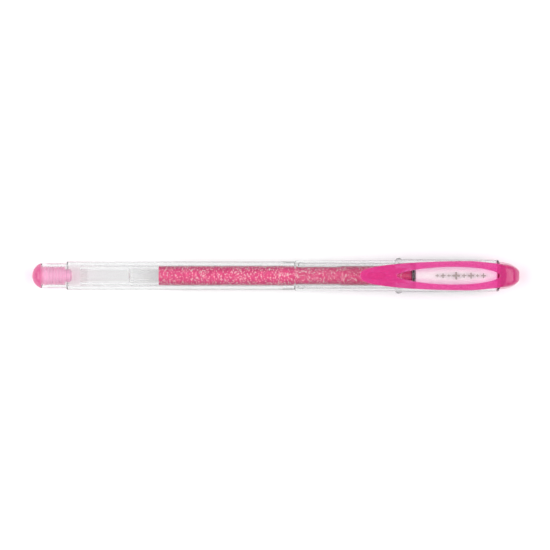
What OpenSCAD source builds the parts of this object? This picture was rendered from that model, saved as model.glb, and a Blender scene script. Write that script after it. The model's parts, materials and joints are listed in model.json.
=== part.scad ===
// Capped gel pen, lying along X with its tail at -X, its cap at +X and its clip upwards.
// Lengths are in millimetres. A "station" is a distance along the pen from its tail end.
// A profile is drawn as [radius, station] and spun about the pen's axis by lathe().

/* [Overall] */
// Length of the capped pen, from the tail dome to the crown
pen_len = 150; // [149:0.5:152]
// Sides of every round surface
facets = 96; // [48:16:128]

/* [Barrel] */
// Outer diameter of the barrel
barrel_d = 8.8; // [8.7:0.05:8.9]
// Bore of the barrel, which the refill lies in
barrel_bore_d = 6.9; // [6.8:0.05:7]
// Outer diameter of the tail spigot, which the cap is posted on
spigot_d = 7.7; // [7.6:0.05:7.8]
// Station of the shoulder between tail spigot and barrel
shoulder_at = 10.7; // [10.2:0.1:11.2]
// Station of the barrel's front end
barrel_end = 81; // [80:0.5:81.5]

/* [Refill] */
// Outer diameter of the ink reservoir
tube_d = 6.3; // [6.2:0.05:6.34]
// Bore of the ink reservoir
tube_bore_d = 4.3; // [4.2:0.05:4.4]
// Outer diameter of the reservoir's waist, under the cap's mouth
waist_d = 5.5; // [5.4:0.1:5.8]
// Station where the grease stops and the ink starts
ink_start = 39.1; // [36:0.5:60]
// Diameter of the writing ball
ball_d = 1; // [0.7:0.1:1]

/* [Cap] */
// Outer diameter of the cap's front sleeve
sleeve_d = 9.5; // [9.5:0.1:9.8]
// Outer diameter of the cap's bead ring
bead_d = 11.1; // [11:0.1:11.4]
// Outer diameter of the cap just behind the bead ring
cap_d = 10.2; // [10.1:0.1:10.4]
// Station where the cap ends and the crown comes out
cap_end = 143.9; // [143.5:0.1:144]

/* [Clip] */
// Greatest width of the clip
clip_w = 9; // [8.6:0.1:9.4]
// Thickness of the clip's leaf
clip_t = 1.4; // [1.2:0.1:1.6]
// Greatest width of the clip's window
window_w = 5.3; // [5:0.1:6]
// Height of the clip's underside above the pen's axis
clip_under = 5.8; // [5.75:0.05:6]

/* [Hidden] */

// Radial gaps: a press fit's, a running fit's and a free one's
press_gap = 0.01;
run_gap = 0.03;
free_gap = 0.12;

// Radii worked out from the driving diameters
barrel_r = barrel_d / 2;
bore_r = barrel_bore_d / 2;
spigot_r = spigot_d / 2;
tube_r = tube_d / 2;
tube_bore_r = tube_bore_d / 2;
waist_r = waist_d / 2;
sleeve_r = sleeve_d / 2;
bead_r = bead_d / 2;
cap_r = cap_d / 2;
ball_r = ball_d / 2;
axis_h = bead_r;

// Tail: dome, spigot and the plug's ribbed stem
spigot_start = 2.9;
seat_depth = 1.7;
seat_r = 3.3;
dome_rim = 2.6;
stem_bore_r = 2.95;
stem_r = stem_bore_r - press_gap;
stem_end = 10.2;
stem_groove = 0.22;
stem_pitch = 0.98;
nose_end = 12.1;
nose_r = 2;
plug_hole_r = 1.3;

// Screwed joint of barrel and front section
socket_start = barrel_end - 4;
socket_r = 3.88;
thread_r = socket_r - run_gap;
thread_start = socket_start + 0.5;
thread_pitch = 0.7;
thread_depth = 0.16;
thread_turns = 4;

// Front section
grip_r = 3.95;
ring_start = barrel_end + 1;
ring_end = ring_start + 2;
ring_r = 4.2;
section_end = 117.8;
section_bore_r = tube_r + 0.05;
nose_start_r = 3.1;
cone_start = 121;
cone_end = 131.5;
cone_end_r = 1.75;
holder_r = 2.2;
tip_r = 1.15;

// Refill, from its open tail to the ball
tube_start = 14.9;
tube_end = 116.8;
waist_start = 82;
waist_end = 94.5;
waist_blend = 1;
front_tube_r = 3.05;
stopper_len = 2;
vent_r = 0.8;
plug_r = tube_bore_r - press_gap;
holder_start = tube_end - 4.8;
holder_bore_r = 1.95;
flange_end = tube_end + 0.4;
feed_r = 1.3;
valve_seat = 118;
valve_seat_r = 0.65;
valve_r = 0.8;
valve_at = valve_seat + 0.95;
ink_end = valve_seat - 0.8;
ink_r = tube_bore_r - run_gap;
chamber_r = 1.1;
tip_start = 121;
holder_end = 125;
tip_cone_start = 133.8;
tip_end = 137.5;
tip_end_r = ball_r + 0.1;
ball_at = tip_end - 0.2;
socket_gap = 0.02;
meniscus_at = 29.9;
meniscus_depth = 0.5;
float_r = 1.1;
float_len = 6.8;

// Cap, inner cap and seal
mouth_at = barrel_end + 0.1;
mouth_bore_r = ring_r + free_gap;
cap_bore_r = grip_r + 0.17;
cap_step = 95;
bead_at = 113.1;
bead_tube_r = 1.35;
cap_rear_r = cap_r - 0.22;
ledge_at = cap_end - 0.6;
neck_r = 2.6;
neck_start = 141;
inner_start = section_end + 0.3;
inner_r = cap_bore_r - press_gap;
inner_mouth_r = nose_start_r + 0.2;
inner_narrow_r = 2.7;
inner_floor = 138.9;
inner_end = ledge_at - 0.1;
seal_r = 1.6;
seal_start = tip_end + 0.45;

// Crown and clip. Heights are above the pen's axis.
crown_r = 3.9;
crown_start = cap_end + 0.04;
crown_span = pen_len - cap_end + 0.5;
hinge_at = 146.2;
hinge_up = 5.7;
knuckle_r = 0.8;
knuckle_half = 2.9;
root_half = 3.1;
root_start = cap_end + 0.15;
root_top = clip_under + clip_t - 0.1;
clip_tip = 100.8;
clip_wide = 134;
clip_root = 145.4;
root_w = 7.4;
window_start = 112.2;
window_wide = 129.8;
window_end = 143.8;
boss_start = 103.1;
boss_end = 108.7;
boss_w = 2;
boss_gap = 0.12;
rib_start = 109;
rib_end = 111.8;
rib_w = 0.9;
rib_h = 0.5;

// Turn of every round skin's facets about the axis. The facets under the pen decide how it settles
seam_turn = -1.6;

pink = "hotpink";
clear = [0.86, 0.9, 0.92, 0.45];

// Points of an arc about [r, s] from angle a to angle b; angle 0 points outwards from the axis
function arc(r, s, rad, a, b, n = 12) =
    [for (i = [0:n]) let (t = a + (b - a) * i / n) [r + rad * cos(t), s + rad * sin(t)]];

// Spins a profile about the pen's axis
module lathe() {
    translate([-pen_len / 2, 0, axis_h]) rotate([seam_turn, 0, 0]) rotate([0, 90, 0])
        rotate_extrude($fn = facets) children();
}

// Moves a shape whose X is a station and whose Z is a height above the pen's axis
module at_axis() {
    translate([-pen_len / 2, 0, axis_h]) children();
}

// A rod across the pen, at a station and a height
module cross_rod(at, up, r, half) {
    translate([at, half, up]) rotate([90, 0, 0]) cylinder(r = r, h = 2 * half, $fn = 32);
}

// Triangular rings in a profile, one after another, with crests (or roots) at radius r_tip
module ring_row(start, pitch, turns, r_base, r_tip) {
    for (i = [0:turns - 1]) {
        s = start + i * pitch;
        polygon([[r_base, s], [r_tip, s + pitch * 0.4], [r_base, s + pitch * 0.8]]);
    }
}

// Clear tube with the tail spigot behind and the threaded socket in front
module barrel() {
    chamfer = 0.15;
    color(clear) lathe() difference() {
        polygon([
            [stem_bore_r, spigot_start + seat_depth], [seat_r, spigot_start + seat_depth],
            [seat_r, spigot_start], [spigot_r - chamfer, spigot_start],
            [spigot_r, spigot_start + chamfer], [spigot_r, shoulder_at],
            [barrel_r - chamfer, shoulder_at], [barrel_r, shoulder_at + chamfer],
            [barrel_r, barrel_end - chamfer], [barrel_r - chamfer, barrel_end],
            [socket_r, barrel_end], [socket_r, socket_start], [bore_r, socket_start],
            [bore_r, shoulder_at + 0.4], [stem_bore_r, shoulder_at + 0.4]
        ]);
        ring_row(thread_start, thread_pitch, thread_turns, socket_r - 0.01, socket_r + 0.12);
    }
}

// Pink end dome on a ribbed, hollow stem
module tail_plug() {
    dome_r = (pow(spigot_r, 2) + pow(dome_rim, 2)) / (2 * dome_rim);
    rim_angle = asin(spigot_r / dome_r);
    color(pink) lathe() difference() {
        polygon(concat(
            [[0, spigot_start + 0.7], [0, 0]],
            [for (i = [1:12]) let (t = rim_angle * i / 12)
                [dome_r * sin(t), dome_r * (1 - cos(t))]],
            [[spigot_r, spigot_start], [stem_r, spigot_start], [stem_r, stem_end],
             [nose_r, stem_end], [nose_r, nose_end - 0.7]],
            arc(nose_r - 0.7, nose_end - 0.7, 0.7, 15, 90, 5),
            [[plug_hole_r, nose_end], [plug_hole_r, spigot_start + 0.7]]
        ));
        for (i = [0:6])
            translate([stem_r, spigot_start + 0.75 + i * stem_pitch])
                circle(r = stem_groove, $fn = 16);
    }
}

// Clear nose piece: threaded spigot, cap-holding ring, grip and cone
module front_section() {
    root_r = thread_r - thread_depth;
    color(clear) lathe() {
        polygon([
            [section_bore_r, socket_start + 0.1], [root_r, socket_start + 0.1],
            [root_r, barrel_end + 0.05], [grip_r, barrel_end + 0.05],
            [grip_r, ring_start], [ring_r, ring_start + 0.6],
            [ring_r, ring_end - 0.6], [grip_r, ring_end],
            [grip_r, section_end - 0.3], [grip_r - 0.3, section_end],
            [nose_start_r, section_end], [nose_start_r, cone_start],
            [cone_end_r, cone_end - 0.3], [cone_end_r - 0.3, cone_end],
            [tip_r + 0.13, cone_end], [tip_r + 0.13, holder_end + 0.3],
            [holder_r + 0.1, holder_end + 0.3], [holder_r + 0.1, flange_end + 0.2],
            [section_bore_r, flange_end + 0.2]
        ]);
        ring_row(thread_start, thread_pitch, thread_turns, root_r - 0.01, thread_r);
    }
}

// Clear reservoir, open at its tail, with a plain bore and a waist on its outside
module refill_tube() {
    color(clear) lathe() polygon([
        [tube_bore_r, tube_start], [tube_r, tube_start],
        [tube_r, waist_start - waist_blend], [waist_r, waist_start],
        [waist_r, waist_end], [front_tube_r, waist_end + waist_blend],
        [front_tube_r, tube_end], [tube_bore_r, tube_end]
    ]);
}

// Vented stopper in the reservoir's tail
module tail_stopper() {
    color("white") lathe() polygon([
        [vent_r, tube_start + 0.1], [plug_r - 0.2, tube_start + 0.1], [plug_r, tube_start + 0.3],
        [plug_r, tube_start + stopper_len], [vent_r, tube_start + stopper_len]
    ]);
}

// Holder that joins reservoir and tip, with the check ball's seat and chamber
module tip_holder() {
    color("white") lathe() polygon([
        [holder_bore_r, holder_start], [plug_r, holder_start],
        [plug_r, tube_end], [front_tube_r, tube_end], [front_tube_r, flange_end],
        [holder_r, flange_end], [holder_r, holder_end - 1.5], [holder_r - 0.45, holder_end],
        [tip_r + press_gap, holder_end], [tip_r + press_gap, tip_start],
        [chamber_r, tip_start], [chamber_r, valve_seat + 0.3], [valve_seat_r, valve_seat],
        [valve_seat_r, ink_end + 0.1], [feed_r, ink_end + 0.1],
        [feed_r, flange_end - 0.1], [holder_bore_r, tube_end]
    ]);
}

// Metal tip: tube, cone and the socket that holds the ball
module tip_body() {
    color("silver") lathe() difference() {
        polygon([
            [0.3, tip_start + 10], [0.6, tip_start + 10], [0.6, tip_start],
            [tip_r, tip_start], [tip_r, tip_cone_start], [tip_end_r, tip_end - 0.3],
            [tip_end_r - 0.06, tip_end], [0.3, tip_end]
        ]);
        translate([0, ball_at]) circle(r = ball_r + socket_gap, $fn = 48);
    }
}

// Ball at the pen's point
module writing_ball() {
    color("silver") translate([ball_at - pen_len / 2, 0, axis_h]) sphere(r = ball_r, $fn = 48);
}

// Loose ball that stops ink and air running back up the refill
module valve_ball() {
    color("silver") translate([valve_at - pen_len / 2, 0, axis_h]) sphere(r = valve_r, $fn = 48);
}

// Glitter ink between the grease and the tip holder
module gel_ink() {
    plug_ink_r = holder_bore_r - run_gap;
    feed_ink_r = feed_r - run_gap;
    color("deeppink") lathe() polygon([
        [0, ink_start], [ink_r, ink_start], [ink_r, holder_start - 0.05],
        [plug_ink_r, holder_start - 0.05], [plug_ink_r, tube_end - 0.05],
        [feed_ink_r, flange_end - 0.15], [feed_ink_r, ink_end], [0, ink_end]
    ]);
}

// Clear grease that follows the ink, hollow where the float lies in it
module grease_follower() {
    front = ink_start - 0.05;
    bowl_r = (pow(ink_r, 2) + pow(meniscus_depth, 2)) / (2 * meniscus_depth);
    half_angle = asin(ink_r / bowl_r);
    float_end = meniscus_at + meniscus_depth + float_len - 0.3;
    color([0.95, 0.9, 0.85, 0.5]) lathe() difference() {
        polygon(concat(
            [[0, front]],
            [for (i = [0:10]) let (t = half_angle * i / 10)
                [bowl_r * sin(t), meniscus_at + meniscus_depth - bowl_r * (1 - cos(t))]],
            [[ink_r, front]]
        ));
        translate([-1, meniscus_at - 1])
            square([1 + float_r + press_gap, float_end + press_gap - meniscus_at + 1]);
    }
}

// Small float that keeps the grease moving evenly
module follower_float() {
    start = meniscus_at + meniscus_depth - 0.3;
    round_r = 0.4;
    color("white") lathe() polygon(concat(
        [[0, start + float_len], [0, start]],
        arc(float_r - round_r, start + round_r, round_r, -90, 0, 5),
        arc(float_r - round_r, start + float_len - round_r, round_r, 0, 90, 5)
    ));
}

// Clear cap: sleeve with the mouth, bead ring, and a rear part open to the crown
module cap_body() {
    bead_r0 = bead_r - bead_tube_r;
    front_angle = -acos((sleeve_r - bead_r0) / bead_tube_r);
    rear_angle = acos((cap_r - bead_r0) / bead_tube_r);
    edge = 0.12;
    corner = 0.35;
    color(clear) lathe() polygon(concat(
        [[mouth_bore_r, mouth_at], [sleeve_r - edge, mouth_at], [sleeve_r, mouth_at + edge]],
        arc(bead_r0, bead_at, bead_tube_r, front_angle, rear_angle, 20),
        [[cap_rear_r, cap_end - corner]],
        arc(cap_rear_r - corner, cap_end - corner, corner, 15, 90, 5),
        [[neck_r + press_gap, cap_end], [neck_r + press_gap, ledge_at],
         [cap_bore_r, ledge_at], [cap_bore_r, cap_step], [mouth_bore_r, cap_step]]
    ));
}

// White inner cap that closes round the nose cone and holds the crown's neck behind
module inner_cap() {
    color("white") lathe() polygon([
        [0, neck_start - 0.1], [0, inner_floor], [inner_narrow_r, inner_floor],
        [inner_narrow_r, cone_start + 4], [inner_mouth_r, cone_start + 0.5],
        [inner_mouth_r, inner_start + 0.2], [inner_mouth_r + 0.2, inner_start],
        [inner_r - 0.2, inner_start], [inner_r, inner_start + 0.2],
        [inner_r, inner_end - 0.3], [inner_r - 0.3, inner_end],
        [neck_r + press_gap, inner_end], [neck_r + press_gap, neck_start - 0.1]
    ]);
}

// Elastic pad that the ball rests close to
module cap_seal() {
    color("dimgray") lathe() polygon([
        [0, seal_start], [seal_r - 0.2, seal_start], [seal_r, seal_start + 0.2],
        [seal_r, inner_floor], [0, inner_floor]
    ]);
}

// Radius of the crown's dome at a station
function crown_radius(s) = crown_r * sqrt(1 - pow((s - cap_end) / crown_span, 2.2));

// Extrudes a side view, drawn as [station, height above the axis], across the pen
module side_slab(half) {
    at_axis() translate([0, half, 0]) rotate([90, 0, 0]) linear_extrude(2 * half) children();
}

// Pink end of the cap: a neck in the inner cap, a dome behind it and the root that the clip
// springs from
module crown(steps = 14) {
    root_at = [for (i = [0:steps]) crown_start + (pen_len - crown_start) * i / steps];
    color(pink) difference() {
        union() {
            lathe() polygon(concat(
                [[0, neck_start], [neck_r - 0.2, neck_start], [neck_r, neck_start + 0.2],
                 [neck_r, crown_start]],
                [for (s = root_at) [crown_radius(s), s]],
                [[0, pen_len]]
            ));
            // the root narrows towards the end as the dome does
            intersection() {
                at_axis() linear_extrude(2 * root_top)
                    leaf(root_at, [for (s = root_at) crown_radius(s) - 0.1]);
                side_slab(root_half) polygon([
                    [root_start, 1], [root_start, root_top - 0.4], [root_start + 0.4, root_top],
                    [root_start + 2.9, root_top - 0.1], [root_start + 4.1, root_top - 1],
                    [root_start + 5.1, root_top - 2.6], [root_start + 5.7, root_top - 4.6],
                    [root_start + 5.8, 1]
                ]);
            }
        }
        at_axis() cross_rod(hinge_at, hinge_up, knuckle_r + run_gap, 2 * root_half);
        side_slab(2 * root_half) translate([hinge_at, hinge_up]) polygon([
            [0.2, -0.3], [-8, clip_under - hinge_up - 0.06], [-8, 3], [0.55, 3], [0.35, 0.8]
        ]);
    }
}

// Half the clip's width at a station
function clip_half(s) = s < clip_wide
    ? clip_w / 2 * pow(1 - pow((clip_wide - s) / (clip_wide - clip_tip), 1.9), 0.36)
    : clip_w / 2 - (clip_w - root_w) / 2 * pow(sin(90 * (s - clip_wide) / (clip_root - clip_wide)), 2);

// Half the window's width at a station: a point towards the tip, an ellipse towards the root
function window_half(s) = s < window_wide
    ? window_w / 2 * pow(1 - pow((window_wide - s) / (window_wide - window_start), 1.9), 0.6)
    : window_w / 2 * sqrt(1 - pow((s - window_wide) / (window_end - window_wide), 2));

// Leaf outline of a length of the pen, whose half width is given at even steps
module leaf(stations, halves) {
    n = len(stations) - 1;
    polygon(concat(
        [for (i = [0:n]) [stations[i], halves[i]]],
        [for (i = [n:-1:0]) [stations[i], -halves[i]]]
    ));
}

// Stations from a to b, closer together near both ends
function eased(a, b, n) = [for (i = [0:n]) a + (b - a) * (1 - cos(180 * i / n)) / 2];

// Pink leaf-shaped clip with its window, the boss under its tip and its root knuckle
module clip() {
    outline_at = eased(clip_tip + 0.02, clip_root, 48);
    window_at = eased(window_start + 0.02, window_end - 0.02, 40);
    boss_low = sleeve_r + boss_gap;
    boss_r = boss_w / 2;
    boss_len = boss_end - boss_start - boss_w;
    color(pink) {
        at_axis() {
            translate([0, 0, clip_under]) linear_extrude(clip_t) difference() {
                leaf(outline_at, [for (s = outline_at) clip_half(s)]);
                leaf(window_at, [for (s = window_at) window_half(s)]);
            }
            translate([boss_start + boss_r, 0, boss_low])
                linear_extrude(clip_under - boss_low + 0.1) {
                    circle(r = boss_r, $fn = 24);
                    translate([boss_len, 0]) circle(r = boss_r, $fn = 24);
                    translate([0, -boss_r]) square([boss_len, boss_w]);
                }
            translate([rib_start, -rib_w / 2, clip_under - rib_h])
                cube([rib_end - rib_start, rib_w, rib_h + 0.1]);
            cross_rod(hinge_at, hinge_up, knuckle_r, knuckle_half);
        }
        side_slab(knuckle_half) polygon([
            [clip_root - 0.7, clip_under], [clip_root - 0.7, clip_under + clip_t],
            [clip_root, clip_under + clip_t], [hinge_at + 0.1, hinge_up + knuckle_r - 0.03],
            [hinge_at, hinge_up], [hinge_at - knuckle_r + 0.05, hinge_up - 0.1]
        ]);
    }
}

barrel();
tail_plug();
front_section();
refill_tube();
tail_stopper();
tip_holder();
tip_body();
gel_ink();
grease_follower();
follower_float();
valve_ball();
writing_ball();
cap_body();
inner_cap();
cap_seal();
crown();
clip();
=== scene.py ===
import json
import math
import random

import bmesh
import bpy
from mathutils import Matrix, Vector


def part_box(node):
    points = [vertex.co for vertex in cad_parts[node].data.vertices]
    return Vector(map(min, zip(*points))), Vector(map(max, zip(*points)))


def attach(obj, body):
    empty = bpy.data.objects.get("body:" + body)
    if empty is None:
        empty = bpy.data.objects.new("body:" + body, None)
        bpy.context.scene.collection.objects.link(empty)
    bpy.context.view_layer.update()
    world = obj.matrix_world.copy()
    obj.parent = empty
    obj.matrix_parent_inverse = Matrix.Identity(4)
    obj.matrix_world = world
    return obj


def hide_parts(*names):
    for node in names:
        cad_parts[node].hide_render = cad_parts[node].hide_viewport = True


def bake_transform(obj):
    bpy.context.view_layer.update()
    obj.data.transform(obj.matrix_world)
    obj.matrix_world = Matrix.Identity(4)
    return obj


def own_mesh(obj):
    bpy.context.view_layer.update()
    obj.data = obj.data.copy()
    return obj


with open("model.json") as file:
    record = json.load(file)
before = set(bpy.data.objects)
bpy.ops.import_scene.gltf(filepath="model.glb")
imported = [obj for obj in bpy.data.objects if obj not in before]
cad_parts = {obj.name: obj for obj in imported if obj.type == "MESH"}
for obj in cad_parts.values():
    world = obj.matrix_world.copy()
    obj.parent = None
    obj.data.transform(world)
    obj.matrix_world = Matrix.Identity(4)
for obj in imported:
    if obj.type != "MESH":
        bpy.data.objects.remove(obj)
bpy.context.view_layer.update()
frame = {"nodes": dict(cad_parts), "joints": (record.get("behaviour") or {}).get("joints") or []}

MM = 0.001
NODES = frame["nodes"]


# ---------------------------------------------------------------- places, from the frame

def span(node):
    """Lowest and highest x of a CAD node."""
    low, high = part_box(node)
    return low.x, high.x


def radius(node):
    """Outer radius of a CAD node that is round about the pen's axis."""
    low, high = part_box(node)
    return (high.y - low.y) / 2


TAIL_X, CROWN_X = span("tail_plug")[0], span("crown")[1]
AXIS_Z = sum(corner.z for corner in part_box("barrel")) / 2
PEN_LENGTH = CROWN_X - TAIL_X
# The reservoir's bore is this much wider than the ink node
BORE_R = radius("gel_ink") + 0.03 * MM
# Wetted skins reach this far into the wall, so that no air shows between them
CONTACT = 0.02 * MM
# Facets in one turn of a round piece
SKIN_SIDES = 144


def on_axis(x, r=0.0, angle=0.0):
    """Point at radius r; angle 0 is straight up, towards the clip."""
    return Vector((x, r * math.sin(angle), AXIS_Z + r * math.cos(angle)))


# ---------------------------------------------------------------- meshes

def new_object(name, mesh):
    """Puts a mesh in the scene."""
    obj = bpy.data.objects.new(name, mesh)
    bpy.context.scene.collection.objects.link(obj)
    return obj


def shade(obj, sharp_angle=35.0):
    """Smooth shading with edges sharper than the angle kept hard."""
    limit = math.radians(sharp_angle)
    bm = bmesh.new()
    bm.from_mesh(obj.data)
    bmesh.ops.recalc_face_normals(bm, faces=bm.faces)
    for face in bm.faces:
        face.smooth = True
    for edge in bm.edges:
        hard = len(edge.link_faces) == 2 and edge.calc_face_angle(0.0) > limit
        edge.smooth = not hard
    bm.to_mesh(obj.data)
    bm.free()
    return obj


def ring_mesh(name, rings, closed=False):
    """Closed skin over rings of equal length. A ring of one point is a pole."""
    verts, starts = [], []
    for ring in rings:
        starts.append(len(verts))
        verts.extend(ring)
    faces = []
    pairs = list(zip(range(len(rings) - 1), range(1, len(rings))))
    if closed:
        pairs.append((len(rings) - 1, 0))
    for a, b in pairs:
        na, nb = len(rings[a]), len(rings[b])
        for i in range(max(na, nb)):
            quad = [
                starts[a] + i % na, starts[a] + (i + 1) % na,
                starts[b] + (i + 1) % nb, starts[b] + i % nb,
            ]
            corners = list(dict.fromkeys(quad))
            if len(corners) > 2:
                faces.append(corners)
    mesh = bpy.data.meshes.new(name)
    mesh.from_pydata([tuple(v) for v in verts], [], faces)
    mesh.update()
    return new_object(name, mesh)


def lathe(name, profile):
    """Spins (x, radius) points about the pen's axis into a closed solid."""
    rings = []
    for x, r in profile:
        if r <= 0:
            rings.append([on_axis(x)])
        else:
            turns = [2 * math.pi * i / SKIN_SIDES for i in range(SKIN_SIDES)]
            rings.append([on_axis(x, r, turn) for turn in turns])
    return ring_mesh(name, rings)


def union(base, *others):
    """Joins overlapping closed solids into one."""
    for other in others:
        mod = base.modifiers.new("join", "BOOLEAN")
        mod.operation = "UNION"
        mod.solver = "EXACT"
        mod.object = other
        graph = bpy.context.evaluated_depsgraph_get()
        mesh = bpy.data.meshes.new_from_object(base.evaluated_get(graph))
        base.modifiers.clear()
        base.data = mesh
        bpy.data.objects.remove(other)
    return base


# ---------------------------------------------------------------- materials

# Refractive indices, lower than the real ones, so that walls in contact show little line:
# hard clear plastic, its faces that meet another piece, reservoir, float, stopper and holder,
# grease
HARD_IOR = 1.43
MATING_IOR = 1.12
TUBE_IOR = 1.36
FLOAT_IOR = 1.13
NATURAL_IOR = 1.15
GREASE_IOR = 1.12
PINK_IOR = 1.5
# Painted shade on clear walls: what is left of the glass colour where a wall is seen edge on, to
# draw a dark outline
PAINTED_EDGE_SHADE = 0.6
# Light taken up per metre in the barrel and front section, and in the cap
BARREL_ABSORPTION = 105.0
CAP_ABSORPTION = 150.0
# Screwed joint, from the barrel's mouth: x from, x to, inner and outer radius
THREAD_ZONE = (-4.2 * MM, 0.3 * MM, 3.66 * MM, 4.3 * MM)
# Crown's seat, from the cap's end: x from, x to, inner and outer radius
SEAT_ZONE = (-1.0 * MM, 0.1 * MM, 0.0, 4.6 * MM)
# The plug turns from its deep dome to its pale stem between these places behind the tail
PLUG_FADE = (2.6 * MM, 3.6 * MM)

class Graph:
    """Small helper for building one node material."""

    def __init__(self, name):
        self.mat = bpy.data.materials.new(name)
        self.mat.use_nodes = True
        self.tree = self.mat.node_tree
        self.tree.nodes.clear()
        self.out = self.add("ShaderNodeOutputMaterial")

    def add(self, kind, **values):
        node = self.tree.nodes.new(kind)
        for key, value in values.items():
            setattr(node, key, value)
        return node

    def link(self, a, b):
        self.tree.links.new(a, b)

    def coords(self):
        return self.add("ShaderNodeTexCoord").outputs["Object"]

    def noise(self, scale, detail=3.0, stretch=(1.0, 1.0, 1.0)):
        """Noise in the object's own space; scale is in features per metre."""
        mapping = self.add("ShaderNodeMapping")
        mapping.inputs["Scale"].default_value = stretch
        self.link(self.coords(), mapping.inputs["Vector"])
        node = self.add("ShaderNodeTexNoise")
        node.inputs["Scale"].default_value = scale
        node.inputs["Detail"].default_value = detail
        self.link(mapping.outputs[0], node.inputs["Vector"])
        return node.outputs["Fac"]

    def ramp(self, factor, stops):
        node = self.add("ShaderNodeValToRGB")
        elements = node.color_ramp.elements
        while len(elements) < len(stops):
            elements.new(0.5)
        for element, (place, color) in zip(elements, stops):
            element.position = place
            element.color = color if len(color) == 4 else (*color, 1.0)
        self.link(factor, node.inputs["Fac"])
        return node.outputs["Color"]

    def scaled(self, factor, low, high):
        node = self.add("ShaderNodeMapRange")
        node.inputs["To Min"].default_value = low
        node.inputs["To Max"].default_value = high
        self.link(factor, node.inputs["Value"])
        return node.outputs["Result"]

    def bump(self, height, strength, distance):
        node = self.add("ShaderNodeBump")
        node.inputs["Strength"].default_value = strength
        node.inputs["Distance"].default_value = distance
        self.link(height, node.inputs["Height"])
        return node.outputs["Normal"]

    def principled(self, **values):
        node = self.add("ShaderNodeBsdfPrincipled")
        for key, value in values.items():
            node.inputs[key.replace("_", " ")].default_value = value
        return node

    def mixed(self, factor, first, second):
        """Mixes two shaders; the factor is a socket, or a number for an even mix all over."""
        mix = self.add("ShaderNodeMixShader")
        if isinstance(factor, float):
            mix.inputs["Fac"].default_value = factor
        else:
            self.link(factor, mix.inputs["Fac"])
        self.link(first, mix.inputs[1])
        self.link(second, mix.inputs[2])
        return mix.outputs[0]

    def lets_lamps_through(self, shader, tint):
        """Shadow rays pass straight through, so that clear walls don't darken what they hold."""
        path = self.add("ShaderNodeLightPath")
        clear = self.add("ShaderNodeBsdfTransparent")
        clear.inputs["Color"].default_value = (*tint, 1.0)
        return self.mixed(path.outputs["Is Shadow Ray"], shader, clear.outputs[0])

    def change_along_x(self, color, other, start, end):
        """Turns from one colour to another between two x places."""
        place = self.add("ShaderNodeMapRange")
        place.inputs["From Min"].default_value = start
        place.inputs["From Max"].default_value = end
        self.link(self.along_axis(), place.inputs["Value"])
        mix = self.add("ShaderNodeMix", data_type="RGBA")
        self.link(place.outputs["Result"], mix.inputs["Factor"])
        self.link(color, mix.inputs["A"])
        mix.inputs["B"].default_value = (*other, 1.0)
        return mix.outputs["Result"]

    def between(self, value, low, high):
        """1 where a value is between two limits, 0 elsewhere."""
        node = self.add("ShaderNodeMath", operation="COMPARE")
        self.link(value, node.inputs[0])
        node.inputs[1].default_value = (low + high) / 2
        node.inputs[2].default_value = (high - low) / 2
        return node.outputs[0]

    def along_axis(self):
        """The x place."""
        split = self.add("ShaderNodeSeparateXYZ")
        self.link(self.coords(), split.inputs[0])
        return split.outputs["X"]

    def from_axis(self):
        """Distance from the pen's axis."""
        out = self.add("ShaderNodeVectorMath", operation="MULTIPLY_ADD")
        self.link(self.coords(), out.inputs[0])
        out.inputs[1].default_value = (0.0, 1.0, 1.0)
        out.inputs[2].default_value = (0.0, 0.0, -AXIS_Z)
        length = self.add("ShaderNodeVectorMath", operation="LENGTH")
        self.link(out.outputs[0], length.inputs[0])
        return length.outputs["Value"]

    def about_axis(self, start, end, inner, outer):
        """1 between two x places and two distances from the pen's axis, 0 elsewhere."""
        both = self.add("ShaderNodeMath", operation="MULTIPLY")
        self.link(self.between(self.along_axis(), start, end), both.inputs[0])
        self.link(self.between(self.from_axis(), inner, outer), both.inputs[1])
        return both.outputs[0]

    def paint_edge_shade(self, color, left):
        """Painted edge shade: darkens the glass colour where the clear skin is seen edge on, to
        draw a dark outline.
        """
        facing = self.add("ShaderNodeLayerWeight").outputs["Facing"]
        shade = self.ramp(facing, [(0.5, (1.0,) * 3), (0.95, (left,) * 3)])
        mix = self.add("ShaderNodeMix", data_type="RGBA", blend_type="MULTIPLY")
        mix.inputs["Factor"].default_value = 1.0
        self.link(color, mix.inputs["A"])
        self.link(shade, mix.inputs["B"])
        return mix.outputs["Result"]

    def absorb(self, color, density):
        """Takes up light along the path through the solid, at a density per metre."""
        node = self.add("ShaderNodeVolumeAbsorption")
        node.inputs["Color"].default_value = (*color, 1.0)
        node.inputs["Density"].default_value = density
        self.link(node.outputs[0], self.out.inputs["Volume"])

    def finish(self, surface):
        self.link(surface, self.out.inputs["Surface"])
        return self.mat


def clear_plastic(name, tint, ior, haze=0.0, absorption=0.0, mating=None, edge=1.0):
    """Polished clear moulding with faint flow lines; it takes up light along its thickness.

    mating is (x from, x to, inner and outer radius): faces there, which meet another clear
    piece, bend light less. edge is how much of the glass colour is left where a wall is seen
    edge on: painted shade that draws a dark outline.
    """
    g = Graph(name)
    flow = g.noise(60.0, 4.0, (1.0, 8.0, 8.0))
    color = g.ramp(flow, [(0.35, tint), (0.75, [c * 0.997 for c in tint])])
    # painted shade: the glass colour darkens where the wall is seen edge on
    color = g.paint_edge_shade(color, edge)
    rough = g.scaled(flow, haze, haze + 0.012)

    def skin(index):
        shader = g.principled(Transmission_Weight=1.0, IOR=index)
        g.link(color, shader.inputs["Base Color"])
        g.link(rough, shader.inputs["Roughness"])
        return shader.outputs[0]

    surface = skin(ior)
    if mating:
        surface = g.mixed(g.about_axis(*mating), surface, skin(MATING_IOR))
    if absorption > 0:
        g.absorb((0.0, 0.0, 0.0), absorption)
    return g.finish(g.lets_lamps_through(surface, (1, 1, 1)))


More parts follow.
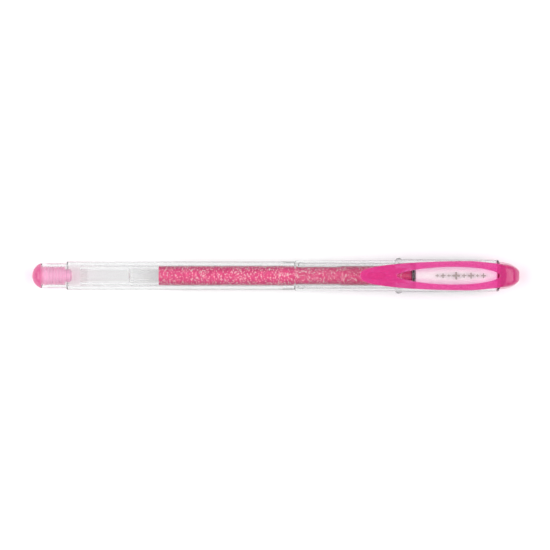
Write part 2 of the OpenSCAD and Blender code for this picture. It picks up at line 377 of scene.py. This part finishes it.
def pink_plastic(name, body_color, clearness, dye, density, pale=None):
    """Dyed moulding, part cloudy and part clear, that is deeper in colour where it is thick.

    pale is (color, x from, x to): the body turns to that colour between two places.
    """
    g = Graph(name)
    cloud = g.noise(220.0, 3.0)
    body = g.principled(IOR=PINK_IOR)
    color = g.ramp(cloud, [(0.3, body_color), (0.8, [min(1.0, c * 1.12) for c in body_color])])
    if pale:
        color = g.change_along_x(color, *pale)
    g.link(color, body.inputs["Base Color"])
    g.link(g.scaled(cloud, 0.06, 0.14), body.inputs["Roughness"])
    glass = g.principled(Transmission_Weight=1.0, IOR=PINK_IOR, Roughness=0.06)
    glass.inputs["Base Color"].default_value = (0.98, 0.93, 0.95, 1.0)
    surface = g.mixed(clearness, body.outputs[0], glass.outputs[0])
    g.absorb(dye, density)
    return g.finish(g.lets_lamps_through(surface, (0.97, 0.85, 0.92)))


def ink_material():
    """Pink gel: cloudy colour and fine bright grains between the larger flakes."""
    g = Graph("ink")
    cloud = g.noise(900.0, 4.0)
    grain = g.add("ShaderNodeTexVoronoi")
    grain.inputs["Scale"].default_value = 5200.0
    g.link(g.coords(), grain.inputs["Vector"])
    base = g.ramp(cloud, [(0.3, (0.62, 0.035, 0.17)), (0.7, (0.80, 0.075, 0.25))])
    spark = g.ramp(grain.outputs["Distance"], [(0.0, (1, 1, 1)), (0.22, (0, 0, 0))])
    mix = g.add("ShaderNodeMix", data_type="RGBA")
    g.link(spark, mix.inputs["Factor"])
    g.link(base, mix.inputs["A"])
    mix.inputs["B"].default_value = (0.95, 0.35, 0.42, 1.0)
    shader = g.principled(IOR=1.35)
    shader.inputs["Subsurface Weight"].default_value = 0.5
    shader.inputs["Subsurface Radius"].default_value = (0.002, 0.001, 0.0012)
    shader.inputs["Subsurface Scale"].default_value = 0.6
    g.link(mix.outputs["Result"], shader.inputs["Base Color"])
    g.link(g.scaled(cloud, 0.3, 0.5), shader.inputs["Roughness"])
    return g.finish(shader.outputs[0])


def flake_material():
    """Glitter film: each flake takes its own tone from pale pink, silver and gold."""
    g = Graph("glitter")
    tone = g.add("ShaderNodeAttribute", attribute_name="tone").outputs["Fac"]
    colors = [
        (0.0, (1.0, 0.30, 0.46)), (0.4, (1.0, 0.55, 0.62)),
        (0.7, (1.0, 0.80, 0.76)), (1.0, (1.0, 0.98, 0.95)),
    ]
    shader = g.principled(Metallic=0.1)
    g.link(g.ramp(tone, colors), shader.inputs["Base Color"])
    g.link(g.scaled(tone, 0.35, 0.2), shader.inputs["Roughness"])
    return g.finish(shader.outputs[0])


def satin(name, color, rough):
    """Plain moulded or rubber surface with faint mottling and fine grain."""
    g = Graph(name)
    cloud = g.noise(350.0, 4.0)
    fine = g.noise(5000.0, 2.0)
    shader = g.principled()
    g.link(g.ramp(cloud, [(0.3, [c * 0.94 for c in color]), (0.75, color)]),
           shader.inputs["Base Color"])
    g.link(g.scaled(cloud, rough, rough + 0.12), shader.inputs["Roughness"])
    g.link(g.bump(fine, 0.15, 0.00001), shader.inputs["Normal"])
    return g.finish(shader.outputs[0])


def turned_metal(name, color, rough):
    """Metal with fine turning lines around the pen's axis."""
    g = Graph(name)
    lines = g.noise(9000.0, 2.0, (1.0, 0.02, 0.02))
    shader = g.principled(Metallic=1.0)
    g.link(g.ramp(lines, [(0.3, [c * 0.85 for c in color]), (0.7, color)]),
           shader.inputs["Base Color"])
    g.link(g.scaled(lines, rough, rough + 0.15), shader.inputs["Roughness"])
    g.link(g.bump(lines, 0.2, 0.000005), shader.inputs["Normal"])
    return g.finish(shader.outputs[0])


def floor_material():
    g = Graph("floor")
    cloud = g.noise(3.0, 2.0)
    shader = g.principled(Roughness=0.9)
    shader.inputs["Specular IOR Level"].default_value = 0.1
    g.link(g.ramp(cloud, [(0.3, (0.90, 0.90, 0.90)), (0.7, (0.92, 0.92, 0.92))]),
           shader.inputs["Base Color"])
    return g.finish(shader.outputs[0])


def paint(obj, material):
    """Gives an object one material."""
    obj.data.materials.clear()
    obj.data.materials.append(material)
    return obj


# ---------------------------------------------------------------- ink, grease and glitter

# Radii of the holder's bore and of its feed hole, and the length of the cone between them
HOLDER_BORE_R = 1.97 * MM
FEED_R = 1.32 * MM
FEED_CONE = 0.4 * MM
# Glitter: how many flakes, their sizes, their spread of tilt, and how far they stay from the
# ink's ends and lie out from its skin
FLAKES = 3800
FLAKE_SIZE = (0.09 * MM, 0.22 * MM)
FLAKE_TILT = 0.25
FLAKE_MARGIN = 0.3 * MM
FLAKE_LIFT = 0.012 * MM
# Grease: depth of its hollow rear face, gap round its float and overlap with the ink
HOLLOW = 0.55 * MM
FLOAT_GAP = 0.005 * MM
INK_OVERLAP = 0.04 * MM

def ink_column(material):
    """Ink that wets the reservoir's bore, in the tube and in the holder's feed hole."""
    start, end = span("gel_ink")
    holder = span("tip_holder")[0]
    wet_r = BORE_R + CONTACT
    column = lathe("ink_column", [(start, 0), (start, wet_r), (holder, wet_r), (holder, 0)])
    tube_end = span("refill_tube")[1]
    feed = lathe("ink_in_holder", [
        (holder, 0), (holder, HOLDER_BORE_R), (tube_end, HOLDER_BORE_R),
        (tube_end + FEED_CONE, FEED_R), (end, FEED_R), (end, 0),
    ])
    for piece in (column, feed):
        shade(piece)
        paint(piece, material)
        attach(piece, "refill")
    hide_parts("gel_ink")
    follow_ink(column)


def follow_ink(piece):
    """Gives a piece its own copy of its mesh."""
    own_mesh(piece)


def flake(rng, start, end):
    """Corners of one six-sided flake at the ink's surface, at its own tilt."""
    x = rng.uniform(start, end)
    angle = rng.uniform(0, 2 * math.pi)
    size = rng.uniform(*FLAKE_SIZE)
    centre = on_axis(x, BORE_R + CONTACT + FLAKE_LIFT, angle)
    out = (centre - on_axis(x)).normalized()
    tilt = Vector([rng.gauss(0, FLAKE_TILT) for _ in range(3)])
    normal = (out + tilt).normalized()
    side = normal.orthogonal().normalized()
    other = normal.cross(side)
    turn = rng.uniform(0, math.pi)
    turns = [turn + k * math.pi / 3 for k in range(6)]
    return [centre + size * (side * math.cos(t) + other * math.sin(t)) for t in turns]


def glitter(material):
    """Flakes all over the ink column, each with a tone of its own."""
    rng = random.Random(7)
    start = span("gel_ink")[0] + FLAKE_MARGIN
    end = span("tip_holder")[0] - FLAKE_MARGIN
    verts, faces, tones = [], [], []
    for _ in range(FLAKES):
        base = len(verts)
        verts.extend(flake(rng, start, end))
        faces.append([base + k for k in range(6)])
        tones.extend([rng.random()] * 6)
    mesh = bpy.data.meshes.new("glitter_flakes")
    mesh.from_pydata([tuple(v) for v in verts], [], faces)
    mesh.attributes.new("tone", "FLOAT", "POINT").data.foreach_set("value", tones)
    flakes = new_object("glitter_flakes", mesh)
    paint(flakes, material)
    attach(flakes, "refill")
    follow_ink(flakes)


def grease(material):
    """Grease follower that wets the bore, with a hollow rear face around its float."""
    back, front = span("grease_follower")
    wet_r = BORE_R + CONTACT
    float_r = radius("follower_float") + FLOAT_GAP
    float_end = span("follower_float")[1] + FLOAT_GAP
    profile = [(float_end, 0), (float_end, float_r)]
    steps = 10
    for i in range(steps + 1):
        r = float_r + (wet_r - float_r) * i / steps
        profile.append((back + HOLLOW * (1 - (r / wet_r) ** 2), r))
    profile += [(front + INK_OVERLAP, wet_r), (front + INK_OVERLAP, 0)]
    slug = shade(lathe("grease", profile))
    paint(slug, material)
    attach(slug, "follower")
    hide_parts("grease_follower")


# ---------------------------------------------------------------- clip and crown

CLIP_LOW, CLIP_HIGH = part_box("clip")
CLIP_TIP = CLIP_LOW.x
CLIP_HALF_W = (CLIP_HIGH.y - CLIP_LOW.y) / 2
CLIP_TOP = CLIP_HIGH.z - AXIS_Z
HINGE = next(j for j in frame["joints"] if j["name"] == "clip_flex")["pos_m"]
CAP_END = span("cap_body")[1]
# Where the leaf is widest, where it ends at the crown, and its lower face above the axis
CLIP_WIDE = CLIP_TIP + 33.2 * MM
CLIP_ROOT = HINGE[0] + 0.2 * MM
CLIP_UNDER = CLIP_TOP - 1.4 * MM
# Rounding of the leaf's edges, drop of its sides and how it thins towards the tip
LEAF_EDGE = 0.32 * MM
LEAF_CROWN = 0.42 * MM
TIP_THINNING = 0.35 * MM
TIP_REACH = 9 * MM
# How far the boss and the rib reach into the leaf, and the crown's plug in the inner cap
ROOTED = 0.4 * MM
PLUG_R = 2.6 * MM
PLUG_CHAMFER = 0.2 * MM
# The dome: length of its curve, its gap from the cap, where its curve starts behind the cap
# and how far its lobe stays below the leaf's top
DOME_REACH = 6.6 * MM
DOME_GAP = 0.04 * MM
DOME_START = 0.12 * MM
LOBE_DROP = 0.12 * MM
WINDOW_HALF_W = 2.65 * MM
WINDOW_TIP = CLIP_TIP + 11.4 * MM
WINDOW_WIDE = CLIP_TIP + 29.0 * MM
WINDOW_ROOT = CLIP_TIP + 43.0 * MM


def outer_outline(t):
    """Point (x, y) of the clip's outline; t runs once round from the root."""
    c, s = math.cos(t), math.sin(t)
    if c < 0:
        x = CLIP_WIDE + (CLIP_WIDE - CLIP_TIP) * c
        y = CLIP_HALF_W * (1 - (-c) ** 1.9) ** 0.36
    else:
        x = CLIP_WIDE + (CLIP_ROOT - CLIP_WIDE) * c
        bulge = 1 - 0.2 * math.sin(math.pi / 2 * c) ** 2
        y = CLIP_HALF_W * bulge * (1 - c ** 14) ** 0.5
    return Vector((x, math.copysign(y, s)))


def window_outline(t):
    """Point (x, y) of the window's outline, pointed towards the tip."""
    c, s = math.cos(t), math.sin(t)
    if c < 0:
        x = WINDOW_WIDE + (WINDOW_WIDE - WINDOW_TIP) * c
        y = WINDOW_HALF_W * (1 - (-c) ** 1.9) ** 0.6
    else:
        x = WINDOW_WIDE + (WINDOW_ROOT - WINDOW_WIDE) * c
        y = WINDOW_HALF_W * math.sqrt(1 - c * c)
    return Vector((x, math.copysign(y, s)))


def loop_points(outline, count):
    """Evenly spaced points on an outline, with their outward normals."""
    fine = [outline(2 * math.pi * (i + 0.5) / 4000) for i in range(4000)]
    lengths = [0.0]
    for a, b in zip(fine, fine[1:] + fine[:1]):
        lengths.append(lengths[-1] + (b - a).length)
    points, index = [], 0
    for k in range(count):
        target = lengths[-1] * k / count
        while lengths[index + 1] < target:
            index += 1
        points.append(fine[index])
    normals = []
    for k in range(count):
        along = points[(k + 1) % count] - points[k - 1]
        normals.append(Vector((along.y, -along.x)).normalized())
    return points, normals


def leaf_top(x, y):
    """Height of the leaf's crowned upper face above the axis, thinner towards its tip."""
    crown = LEAF_CROWN * (y / CLIP_HALF_W) ** 2
    reach = max(0.0, 1 - (x - CLIP_TIP) / TIP_REACH)
    return CLIP_TOP - crown - TIP_THINNING * reach ** 2


def rounded_corner(rim, out, level, way, angles):
    """Points (place, height) of a rounded edge that leaves a face at a level."""
    return [
        (rim + out * LEAF_EDGE * math.sin(a), level + way * LEAF_EDGE * (1 - math.cos(a)))
        for a in angles
    ]


def leaf_section(edge_o, out_o, edge_i, out_i):
    """Cross-section of the leaf from a point on its outline to one on its window's."""
    rim_o, rim_i = edge_o - out_o * LEAF_EDGE, edge_i + out_i * LEAF_EDGE
    top_o, top_i = leaf_top(rim_o.x, rim_o.y), leaf_top(rim_i.x, rim_i.y)
    arc = [math.radians(a) for a in (0, 30, 60, 90)]
    across = [rim_o.lerp(rim_i, share) for share in (0.25, 0.5, 0.75)]
    return (
        rounded_corner(rim_o, out_o, CLIP_UNDER, 1, arc)
        + rounded_corner(rim_o, out_o, top_o, -1, reversed(arc))
        + [(p, leaf_top(p.x, p.y)) for p in across]
        + rounded_corner(rim_i, -out_i, top_i, -1, arc)
        + rounded_corner(rim_i, -out_i, CLIP_UNDER, 1, reversed(arc))
        + [(p, CLIP_UNDER) for p in reversed(across)]
    )


def leaf_solid():
    """Leaf with its window, as one ring of rounded cross-sections."""
    count = 260
    outer = zip(*loop_points(outer_outline, count))
    inner = zip(*loop_points(window_outline, count))
    sections = []
    for (edge_o, out_o), (edge_i, out_i) in zip(outer, inner):
        section = leaf_section(edge_o, out_o, edge_i, out_i)
        sections.append([Vector((p.x, p.y, AXIS_Z + z)) for p, z in section])
    return ring_mesh("clip_and_crown", sections, closed=True)


def lobed_ring(x, r0, top):
    """Round section with a flat-sided lobe that reaches up to a height above the axis."""
    points = []
    lobe_w = max(0.97 * r0, 0.1 * MM)
    for i in range(SKIN_SIDES):
        angle = 2 * math.pi * i / SKIN_SIDES
        r = r0
        up = math.cos(angle)
        if top > r0 and up > 0.02:
            across = (abs(math.sin(angle)) / lobe_w) ** 5
            lobe = (across + (up / top) ** 5) ** -0.2
            r = (r0 ** 8 + lobe ** 8) ** 0.125
        points.append(on_axis(x, r, angle))
    return points


def crown_solid():
    """Neck in the inner cap, dome behind it and a lobe that rises to meet the leaf."""
    neck_x, end_x = span("crown")
    dome_r = radius("crown")
    rings = [
        [on_axis(neck_x)],
        lobed_ring(neck_x, PLUG_R - PLUG_CHAMFER, 0),
        lobed_ring(neck_x + PLUG_CHAMFER, PLUG_R, 0),
        lobed_ring(CAP_END + DOME_GAP, PLUG_R, 0),
        lobed_ring(CAP_END + DOME_GAP, dome_r, 0),
    ]
    steps = 26
    for i in range(steps + 1):
        ease = math.sin(math.pi / 2 * i / steps)
        x = CAP_END + DOME_START + (end_x - CAP_END - DOME_START) * ease
        u = (x - CAP_END) / DOME_REACH
        r0 = dome_r * math.sqrt(1 - u ** 2.2)
        top = (CLIP_TOP - LOBE_DROP) * math.sqrt(max(0.0, 1 - (u * 1.01) ** 3.2))
        rings.append(lobed_ring(x, r0, top))
    rings.append([on_axis(end_x)])
    return ring_mesh("crown_part", rings)


def slot_solid(name, x0, x1, half_w, low, high, fillet):
    """Upright slab with round ends and a rounded lower edge."""
    sides = 40
    levels = []
    for step in range(5):
        a = math.pi / 2 * step / 4
        inset = fillet * (1 - math.sin(a))
        levels.append((inset, low + fillet * (1 - math.cos(a))))
    levels.append((0.0, high))
    centre = (x0 + x1) / 2
    rings = [[Vector((centre, 0, AXIS_Z + low))]]
    for inset, z in levels:
        r = half_w - inset
        ring = []
        for i in range(sides):
            t = 2 * math.pi * i / sides
            end = x1 - half_w if math.cos(t) >= 0 else x0 + half_w
            ring.append(Vector((end + r * math.cos(t), r * math.sin(t), AXIS_Z + z)))
        rings.append(ring)
    rings.append([Vector((centre, 0, AXIS_Z + high))])
    return ring_mesh(name, rings)


def clip_and_crown(material):
    """One flexible moulding: the leaf, its boss and rib, and the crown in the cap's end."""
    boss_low = CLIP_LOW.z - AXIS_Z
    inside = CLIP_UNDER + ROOTED
    boss = slot_solid("boss", CLIP_TIP + 2.3 * MM, CLIP_TIP + 7.9 * MM, 1.0 * MM,
                      boss_low, inside, 0.35 * MM)
    rib = slot_solid("rib", CLIP_TIP + 8.1 * MM, CLIP_TIP + 11.1 * MM, 0.45 * MM,
                     CLIP_UNDER - 0.5 * MM, inside, 0.15 * MM)
    piece = union(leaf_solid(), crown_solid(), boss, rib)
    piece.name = "clip_and_crown"
    shade(piece, 38.0)
    paint(piece, material)
    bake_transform(piece)
    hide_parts("clip", "crown")


# ---------------------------------------------------------------- printed ornament

# Sizes of the stars, from the bead ring to the crown, in millimetres, and the gap between two
STAR_SIZES = (0.55, 0.8, 0.55, 1.25, 0.7, 1.0, 0.55, 0.8)
STAR_GAP = 0.45 * MM
STAR_SIDES = 32
# First star's place behind the cap's mouth, height of the print over the inner cap, and its
# ink's lift from the cap and thickness
STARS_START = 43 * MM
PRINT_OVER_INNER = 0.95 * MM
PRINT_LIFT = 0.012 * MM
PRINT_THICKNESS = 0.015 * MM


def star(centre_x, size, print_r):
    """Points (x, angle) of a four-pointed star wrapped on the cap's top."""
    points = []
    for k in range(STAR_SIDES):
        t = 2 * math.pi * k / STAR_SIDES
        r = size * (abs(math.cos(t)) ** 3 + abs(math.sin(t)) ** 3) * 0.9 + size * 0.1
        r *= 0.35 + 0.65 * abs(math.cos(2 * t)) ** 1.5
        points.append((centre_x + r * math.cos(t), r * math.sin(t) / print_r))
    return points


def cap_print(material):
    """Row of small stars printed on the cap, seen through the clip's window."""
    print_r = radius("inner_cap") + PRINT_OVER_INNER
    verts, faces = [], []
    x = span("cap_body")[0] + STARS_START
    for size in STAR_SIZES:
        x += size * MM
        base = len(verts)
        verts.append(on_axis(x, print_r + PRINT_LIFT))
        for px, angle in star(x, size * MM, print_r):
            verts.append(on_axis(px, print_r + PRINT_LIFT, angle))
        for k in range(STAR_SIDES):
            faces.append([base, base + 1 + k, base + 1 + (k + 1) % STAR_SIDES])
        x += size * MM + STAR_GAP
    mesh = bpy.data.meshes.new("cap_print")
    mesh.from_pydata([tuple(v) for v in verts], [], faces)
    obj = new_object("cap_print", mesh)
    mod = obj.modifiers.new("thickness", "SOLIDIFY")
    mod.thickness = PRINT_THICKNESS
    paint(obj, material)
    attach(obj, "cap")


# ---------------------------------------------------------------- stage, lamps and camera

# Floor's half-width and its drop below the pen, in metres
FLOOR_HALF = 3.0
FLOOR_DROP = 0.00005
# Lamps: distance sideways and up, width and power; then the sky's strength
LAMP_OUT = 0.8
LAMP_WIDTH = 1.2
LAMP_WATTS = 12.0
SKY_STRENGTH = 0.4
# Camera: lens and sensor in millimetres, picture's width over the pen's length, and how far
# the aim is from the pen's middle, in picture widths
LENS_MM = 200.0
SENSOR_MM = 36.0
WIDTH_OVER_PEN = 1.130989
AIM_SHIFT = (-0.000636, 0.001273)

def build_stage():
    """Plain floor just under the pen."""
    mesh = bpy.data.meshes.new("floor")
    corners = [(-1, -1), (1, -1), (1, 1), (-1, 1)]
    verts = [(FLOOR_HALF * x, FLOOR_HALF * y, 0) for x, y in corners]
    mesh.from_pydata(verts, [], [(0, 1, 2, 3)])
    floor = new_object("floor", mesh)
    floor.data.materials.append(floor_material())
    floor.location.z = -FLOOR_DROP


def softbox(name, place):
    """Square soft lamp that points at the pen."""
    data = bpy.data.lights.new(name, "AREA")
    data.shape = "RECTANGLE"
    data.size = data.size_y = LAMP_WIDTH
    data.energy = LAMP_WATTS
    lamp = bpy.data.objects.new(name, data)
    bpy.context.scene.collection.objects.link(lamp)
    lamp.location = place
    lamp.rotation_euler = (-Vector(place)).to_track_quat("-Z", "Y").to_euler()
    # its light already reaches through clear walls along shadow rays
    lamp.visible_transmission = False


def build_lights():
    """Two soft lamps, one beyond each end of the pen, and a plain pale sky."""
    for side in (-1, 1):
        softbox(f"softbox_{side + 1}", (LAMP_OUT * side, 0, LAMP_OUT))
    world = bpy.data.worlds.new("studio")
    world.use_nodes = True
    background = world.node_tree.nodes["Background"]
    background.inputs["Color"].default_value = (0.93, 0.95, 0.97, 1.0)
    background.inputs["Strength"].default_value = SKY_STRENGTH
    bpy.context.scene.world = world


def build_camera():
    """Looks straight down on the clip, with the pen level across the frame."""
    data = bpy.data.cameras.new("camera")
    data.lens = LENS_MM
    data.sensor_width = SENSOR_MM
    width = PEN_LENGTH * WIDTH_OVER_PEN
    distance = width * LENS_MM / SENSOR_MM
    camera = bpy.data.objects.new("camera", data)
    bpy.context.scene.collection.objects.link(camera)
    data.clip_start, data.clip_end = 0.01, 20.0
    middle = (TAIL_X + CROWN_X) / 2
    aim_x, aim_y = (width * shift for shift in AIM_SHIFT)
    camera.location = (middle + aim_x, aim_y, AXIS_Z + distance)
    bpy.context.scene.camera = camera


def set_colour_and_paths():
    """Plain colour transform, and enough light bounces for nested clear walls."""
    scene = bpy.context.scene
    scene.view_settings.view_transform = "Standard"
    scene.cycles.max_bounces = 32
    scene.cycles.transmission_bounces = 32
    scene.cycles.transparent_max_bounces = 48
    scene.cycles.diffuse_bounces = 4
    scene.cycles.glossy_bounces = 8
    scene.cycles.caustics_refractive = True


# ---------------------------------------------------------------- build

def zone(end, limits):
    """A zone for clear_plastic, whose x limits are measured from the end of a piece."""
    return end + limits[0], end + limits[1], limits[2], limits[3]


def clear_finishes():
    """Finish and slot of each clear node."""
    hard = clear_plastic("clear_plastic", (1.0, 0.999, 1.0), HARD_IOR, edge=PAINTED_EDGE_SHADE,
                         absorption=BARREL_ABSORPTION,
                         mating=zone(span("barrel")[1], THREAD_ZONE))
    cap = clear_plastic("cap_plastic", (1.0, 0.999, 0.998), HARD_IOR, edge=PAINTED_EDGE_SHADE,
                        absorption=CAP_ABSORPTION, mating=zone(CAP_END, SEAT_ZONE))
    tube = clear_plastic("tube_plastic", (1.0, 0.999, 0.999), TUBE_IOR, haze=0.03)
    floated = clear_plastic("float_plastic", (1.0, 0.999, 0.999), FLOAT_IOR)
    natural = clear_plastic("natural_plastic", (0.98, 0.97, 0.97), NATURAL_IOR, haze=0.08)
    return {
        "barrel": (hard, "clear_plastic"),
        "front_section": (hard, "clear_plastic"),
        "cap_body": (cap, "clear_plastic"),
        "refill_tube": (tube, "tube_plastic"),
        "follower_float": (floated, "tube_plastic"),
        "tail_stopper": (natural, "white_plastic"),
        "tip_holder": (natural, "white_plastic"),
    }


def solid_finishes():
    """Finish and slot of each coloured, rubber or metal node."""
    fade = [TAIL_X + place for place in PLUG_FADE]
    plug = pink_plastic("plug_pink", (0.60, 0.11, 0.28), 0.2, (0.9, 0.2, 0.5), 260.0,
                        ((0.82, 0.46, 0.64), *fade))
    white = satin("white_plastic", (0.95, 0.84, 0.87), 0.3)
    rubber = satin("seal_rubber", (0.09, 0.09, 0.095), 0.6)
    tip = turned_metal("tip_metal", (0.72, 0.70, 0.66), 0.22)
    ball = turned_metal("ball_metal", (0.75, 0.75, 0.77), 0.08)
    point = turned_metal("ball_metal_point", (0.7, 0.7, 0.72), 0.1)
    return {
        "tail_plug": (plug, "pink_plastic"),
        "inner_cap": (white, "white_plastic"),
        "cap_seal": (rubber, "seal_rubber"),
        "tip_body": (tip, "tip_metal"),
        "valve_ball": (ball, "ball_metal"),
        "writing_ball": (point, "ball_metal"),
    }


def paint_cad_nodes():
    for node, (material, slot) in {**clear_finishes(), **solid_finishes()}.items():
        paint(NODES[node], material)


def build():
    build_camera()
    paint_cad_nodes()
    ink_column(ink_material())
    glitter(flake_material())
    grease(clear_plastic("grease", (1.0, 0.999, 0.999), GREASE_IOR))
    clip_and_crown(pink_plastic("clip_pink", (0.62, 0.04, 0.25), 0.5, (0.95, 0.0, 0.74), 650.0))
    cap_print(satin("print_ink", (0.30, 0.24, 0.23), 0.5))
    build_stage()
    build_lights()
    set_colour_and_paths()


build()
